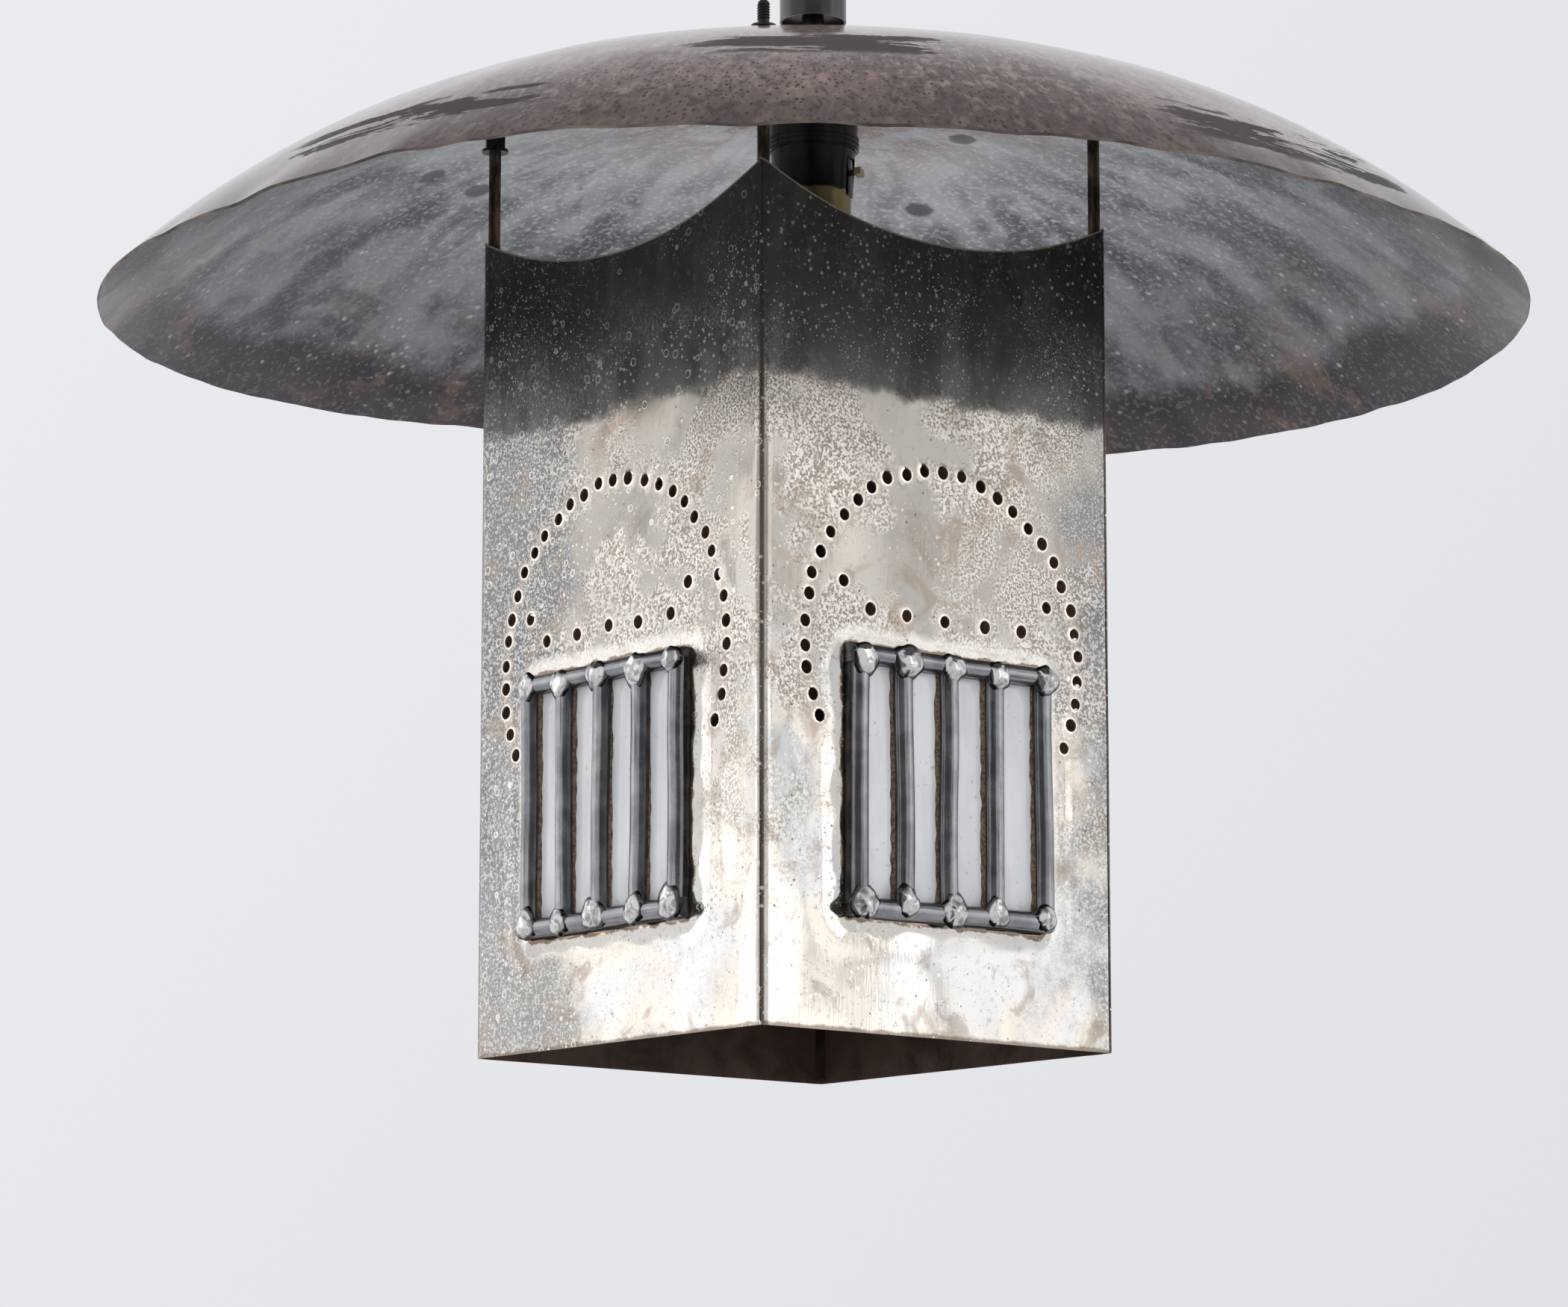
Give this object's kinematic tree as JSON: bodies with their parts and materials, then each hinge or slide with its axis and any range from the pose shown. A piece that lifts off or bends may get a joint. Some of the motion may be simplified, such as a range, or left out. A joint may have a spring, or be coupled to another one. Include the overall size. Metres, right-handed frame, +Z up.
{
  "type": "hanging lantern lamp",
  "caption": "Hanging lamp: an open square sheet-metal lantern body with punched arches and leaded windows, carried on corner rods under a wide domed shade with a keyed socket inside.",
  "frame": {"origin": "centre of the eye of the hanging loop, on the axis of the pipe that carries the lamp", "axes": "+Z up along the pipe, +Y along the hole of the eye, X and Y square to the faces of the body; the front face looks along -Y"},
  "size_m": [0.61, 0.61, 0.5462],
  "materials": {
    "shade_copper": "hand hammered copper sheet, browned and waxed, glossy",
    "tinned_copper": "tinned copper sheet, worn bright, brown where the tin is gone",
    "solder": "bright soft solder",
    "lead_came": "dull dark lead",
    "opal_glass": "milk-white opal glass",
    "glazing_cement": "brown glazing cement",
    "plated_steel": "zinc-plated steel",
    "black_tube": "satin black paint",
    "socket_brass": "lacquered brass",
    "black_shell": "moulded black phenolic",
    "liner_paper": "waxed paper board",
    "switch_block": "moulded insulating block"
  },
  "bodies": {
    "lamp": {"shade_dome": "shade_copper", "body_panel_front": "tinned_copper", "corner_solder_front": "solder", "came_bars_front": "lead_came", "came_top_rail_front": "lead_came", "came_bottom_rail_front": "lead_came", "glass_strips_front": "opal_glass", "glazing_cement_front": "glazing_cement", "solder_joints_front": "solder", "body_panel_right": "tinned_copper", "corner_solder_right": "solder", "came_bars_right": "lead_came", "came_top_rail_right": "lead_came", "came_bottom_rail_right": "lead_came", "glass_strips_right": "opal_glass", "glazing_cement_right": "glazing_cement", "solder_joints_right": "solder", "body_panel_back": "tinned_copper", "corner_solder_back": "solder", "came_bars_back": "lead_came", "came_top_rail_back": "lead_came", "came_bottom_rail_back": "lead_came", "glass_strips_back": "opal_glass", "glazing_cement_back": "glazing_cement", "solder_joints_back": "solder", "body_panel_left": "tinned_copper", "corner_solder_left": "solder", "came_bars_left": "lead_came", "came_top_rail_left": "lead_came", "came_bottom_rail_left": "lead_came", "glass_strips_left": "opal_glass", "glazing_cement_left": "glazing_cement", "solder_joints_left": "solder", "corner_rod_1": "plated_steel", "corner_rod_2": "plated_steel", "corner_rod_3": "plated_steel", "corner_rod_4": "plated_steel", "rod_washers": "plated_steel", "rod_standoffs": "plated_steel", "rod_retainers": "plated_steel", "hang_pipe": "plated_steel", "upper_washer": "plated_steel", "upper_locknut": "plated_steel", "lower_washer": "plated_steel", "lower_locknut": "plated_steel", "hang_loop": "black_tube", "stem_cap": "black_tube", "stem_tube": "black_tube", "stem_ring": "socket_brass", "socket_sleeve": "socket_brass", "screw_shell": "socket_brass", "centre_contact": "socket_brass", "socket_cap": "black_shell", "socket_shell": "black_shell", "key_insulator": "black_shell", "insulating_liner": "liner_paper", "switch_body": "switch_block"},
    "key": {"switch_key": "socket_brass"}
  },
  "joints": [
    {"name": "key_turn", "type": "hinge", "parent": "lamp", "child": "key", "pos_m": [0, 0, -0.1526], "axis": [0.5878, -0.809, 0], "continuous": true}
  ]
}
